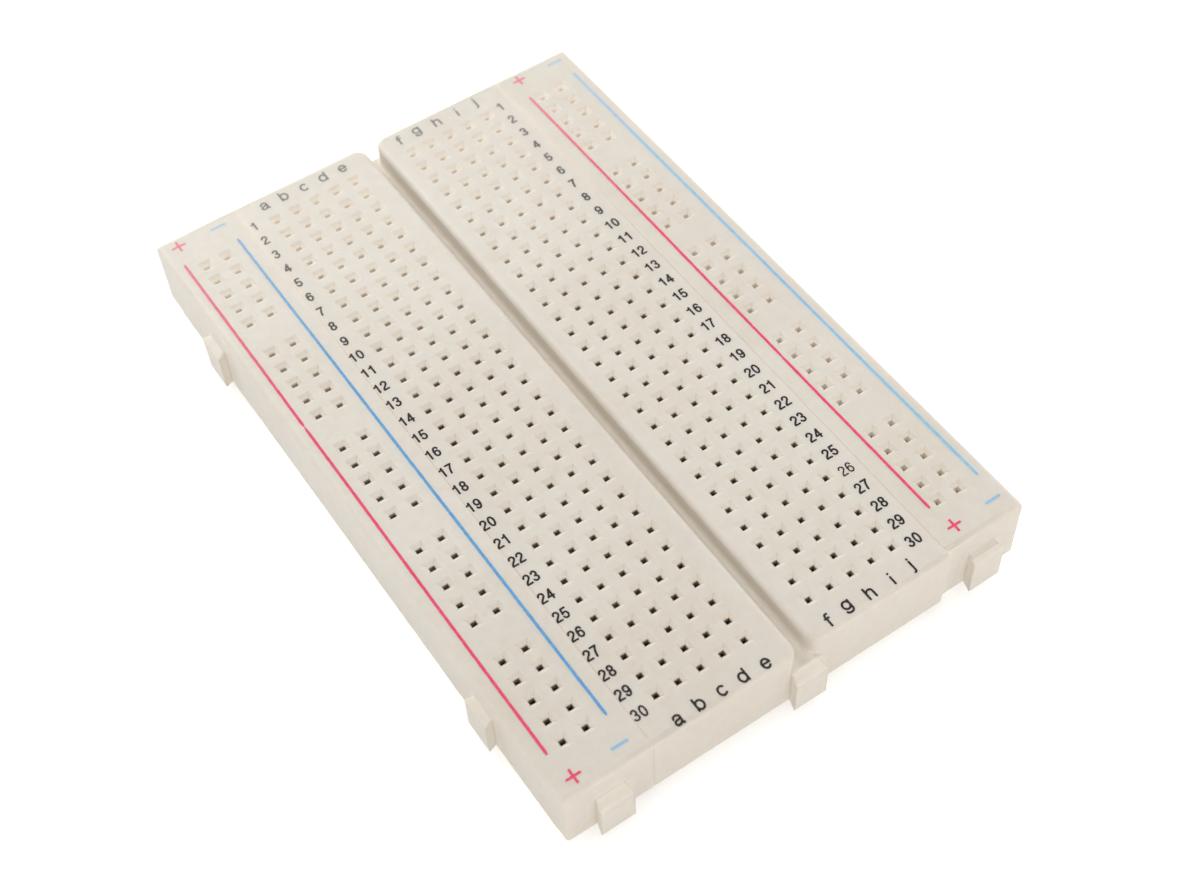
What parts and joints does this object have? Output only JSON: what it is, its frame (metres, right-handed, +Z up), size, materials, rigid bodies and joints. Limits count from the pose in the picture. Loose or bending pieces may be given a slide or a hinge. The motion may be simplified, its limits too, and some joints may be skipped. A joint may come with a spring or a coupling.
{
  "type": "solderless breadboard",
  "caption": "Half-size solderless breadboard: tie-point field with a centre channel between two power rails, on foam tape, with dovetail tabs for joining boards.",
  "frame": {"origin": "centre of the underside of the board, on the face of the release liner that it rests on, midway between the outer long sides and between the two end faces, not counting the dovetail tabs", "axes": "+X from column a to column j, +Y along the board from row 30 towards row 1, +Z up out of the tie-point face"},
  "size_m": [0.0555, 0.0836, 0.0095],
  "materials": {
    "housing_plastic": "warm off-white moulded ABS, satin, very slightly translucent",
    "contact_metal": "nickel-plated phosphor bronze sheet, bright",
    "foam_tape": "closed-cell white foam tape",
    "liner_paper": "siliconed release paper, faint sheen"
  },
  "bodies": {
    "terminal_strip": {"terminal_strip_body": "housing_plastic", "terminal_foam_pad": "foam_tape", "terminal_clips_row_01": "contact_metal", "terminal_clips_row_02": "contact_metal", "terminal_clips_row_03": "contact_metal", "terminal_clips_row_04": "contact_metal", "terminal_clips_row_05": "contact_metal", "terminal_clips_row_06": "contact_metal", "terminal_clips_row_07": "contact_metal", "terminal_clips_row_08": "contact_metal", "terminal_clips_row_09": "contact_metal", "terminal_clips_row_10": "contact_metal", "terminal_clips_row_11": "contact_metal", "terminal_clips_row_12": "contact_metal", "terminal_clips_row_13": "contact_metal", "terminal_clips_row_14": "contact_metal", "terminal_clips_row_15": "contact_metal", "terminal_clips_row_16": "contact_metal", "terminal_clips_row_17": "contact_metal", "terminal_clips_row_18": "contact_metal", "terminal_clips_row_19": "contact_metal", "terminal_clips_row_20": "contact_metal", "terminal_clips_row_21": "contact_metal", "terminal_clips_row_22": "contact_metal", "terminal_clips_row_23": "contact_metal", "terminal_clips_row_24": "contact_metal", "terminal_clips_row_25": "contact_metal", "terminal_clips_row_26": "contact_metal", "terminal_clips_row_27": "contact_metal", "terminal_clips_row_28": "contact_metal", "terminal_clips_row_29": "contact_metal", "terminal_clips_row_30": "contact_metal"},
    "left_bus_strip": {"left_bus_strip_body": "housing_plastic", "left_bus_foam_pad": "foam_tape", "left_positive_bus_clip": "contact_metal", "left_negative_bus_clip": "contact_metal"},
    "right_bus_strip": {"right_bus_strip_body": "housing_plastic", "right_bus_foam_pad": "foam_tape", "right_positive_bus_clip": "contact_metal", "right_negative_bus_clip": "contact_metal"},
    "terminal_liner": {"terminal_release_liner": "liner_paper"},
    "left_bus_liner": {"left_bus_release_liner": "liner_paper"},
    "right_bus_liner": {"right_bus_release_liner": "liner_paper"}
  },
  "joints": [
    {"name": "left_bus_strip_slide", "type": "slide", "parent": "terminal_strip", "child": "left_bus_strip", "axis": [0, 0, 1], "range_m": [0, 0.012]},
    {"name": "right_bus_strip_slide", "type": "slide", "parent": "terminal_strip", "child": "right_bus_strip", "axis": [0, 0, -1], "range_m": [0, 0.012]},
    {"name": "terminal_liner_peel", "type": "slide", "parent": "terminal_strip", "child": "terminal_liner", "axis": [0, 0, -1], "range_m": [0, 0.02]},
    {"name": "left_bus_liner_peel", "type": "slide", "parent": "left_bus_strip", "child": "left_bus_liner", "axis": [0, 0, -1], "range_m": [0, 0.02]},
    {"name": "right_bus_liner_peel", "type": "slide", "parent": "right_bus_strip", "child": "right_bus_liner", "axis": [0, 0, -1], "range_m": [0, 0.02]}
  ]
}
